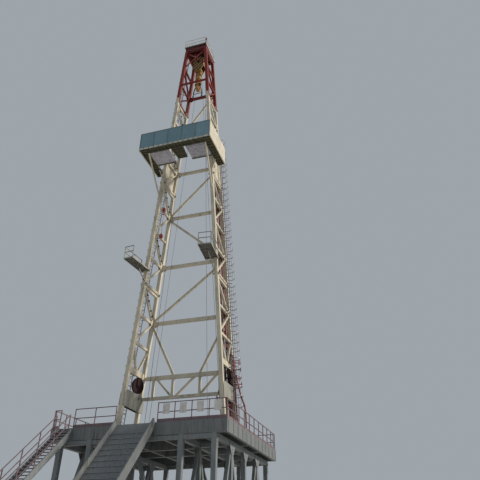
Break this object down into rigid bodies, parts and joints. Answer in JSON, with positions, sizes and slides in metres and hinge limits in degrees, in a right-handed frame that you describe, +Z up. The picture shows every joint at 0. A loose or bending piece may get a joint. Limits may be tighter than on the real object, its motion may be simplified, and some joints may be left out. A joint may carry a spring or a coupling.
{
  "type": "oil drilling rig, scale model at 1:2",
  "caption": "Land drilling rig with an open-front tapering mast, racking board, travelling block, caged ladders, drill floor and box substructure, as a half-size model",
  "frame": {"origin": "on the ground, at the centre of the part's footprint", "axes": "+Z up, -Y towards the front with the ramp and the stair, +X to the right seen from the front"},
  "size_m": [6, 11, 26.07],
  "materials": {
    "ivory_paint": "satin",
    "red_paint": "satin",
    "dark_red_paint": "satin",
    "grey_steel": "satin",
    "dark_steel": "satin",
    "wire_rope": "dull",
    "white_paint": "satin",
    "blue_panel": "satin",
    "galvanised": "dull",
    "brown_red_paint": "satin",
    "yellow_paint": "satin",
    "maroon_paint": "satin",
    "slate_paint": "satin"
  },
  "bodies": {
    "rig": {"left_lower_frame": "ivory_paint", "right_lower_frame": "ivory_paint", "left_second_frame": "ivory_paint", "right_second_frame": "ivory_paint", "left_third_frame": "ivory_paint", "right_third_frame": "ivory_paint", "left_top_frame": "red_paint", "right_top_frame": "red_paint", "rear_beams": "ivory_paint", "rear_diagonals": "ivory_paint", "lower_rear_truss": "ivory_paint", "top_section_bracing": "red_paint", "section_pins": "grey_steel", "side_walls": "ivory_paint", "crown_frame": "dark_red_paint", "crown_bearings": "grey_steel", "crown_sheaves": "dark_steel", "crown_platform": "grey_steel", "crown_rails": "white_paint", "racking_board": "grey_steel", "board_brackets": "ivory_paint", "racking_fingers": "ivory_paint", "front_windbreak": "blue_panel", "side_windbreaks": "ivory_paint", "left_ladder": "galvanised", "right_ladder": "galvanised", "left_cage": "galvanised", "right_cage": "galvanised", "left_work_platform": "galvanised", "right_work_platform": "galvanised", "standpipe": "brown_red_paint", "block_lines": "wire_rope", "drawworks_frame": "brown_red_paint", "drawworks_drum": "dark_steel", "drilling_lines": "wire_rope", "line_anchor": "brown_red_paint", "hoist_lines": "wire_rope", "hoist_winches": "yellow_paint", "raising_sheaves": "maroon_paint", "sheave_hangers": "maroon_paint", "foot_plates": "grey_steel", "mast_shoes": "grey_steel", "drill_floor": "slate_paint", "rotary_table": "grey_steel", "floor_rails": "brown_red_paint", "sign_plates": "white_paint", "left_substructure": "slate_paint", "right_substructure": "slate_paint", "substructure_ties": "slate_paint", "vdoor_ramp": "slate_paint", "stair_stringers": "slate_paint", "stair_treads": "slate_paint"},
    "block": {"travelling_block": "yellow_paint", "block_sheave_set": "dark_steel"},
    "hook": {"hook": "yellow_paint"},
    "links": {"elevator_links": "dark_steel"}
  },
  "joints": [
    {"name": "block_hoist", "type": "slide", "parent": "rig", "child": "block", "axis": [0, 0, -1], "range_m": [0, 16], "deforming": ["block_lines"]},
    {"name": "hook_swivel", "type": "hinge", "parent": "block", "child": "hook", "pos_m": [0, 2.58, 23.77], "axis": [0, 0, 1], "continuous": true},
    {"name": "link_swing", "type": "hinge", "parent": "hook", "child": "links", "pos_m": [0, 2.58, 23.015], "axis": [1, 0, 0], "range_deg": [-30, 30]}
  ]
}
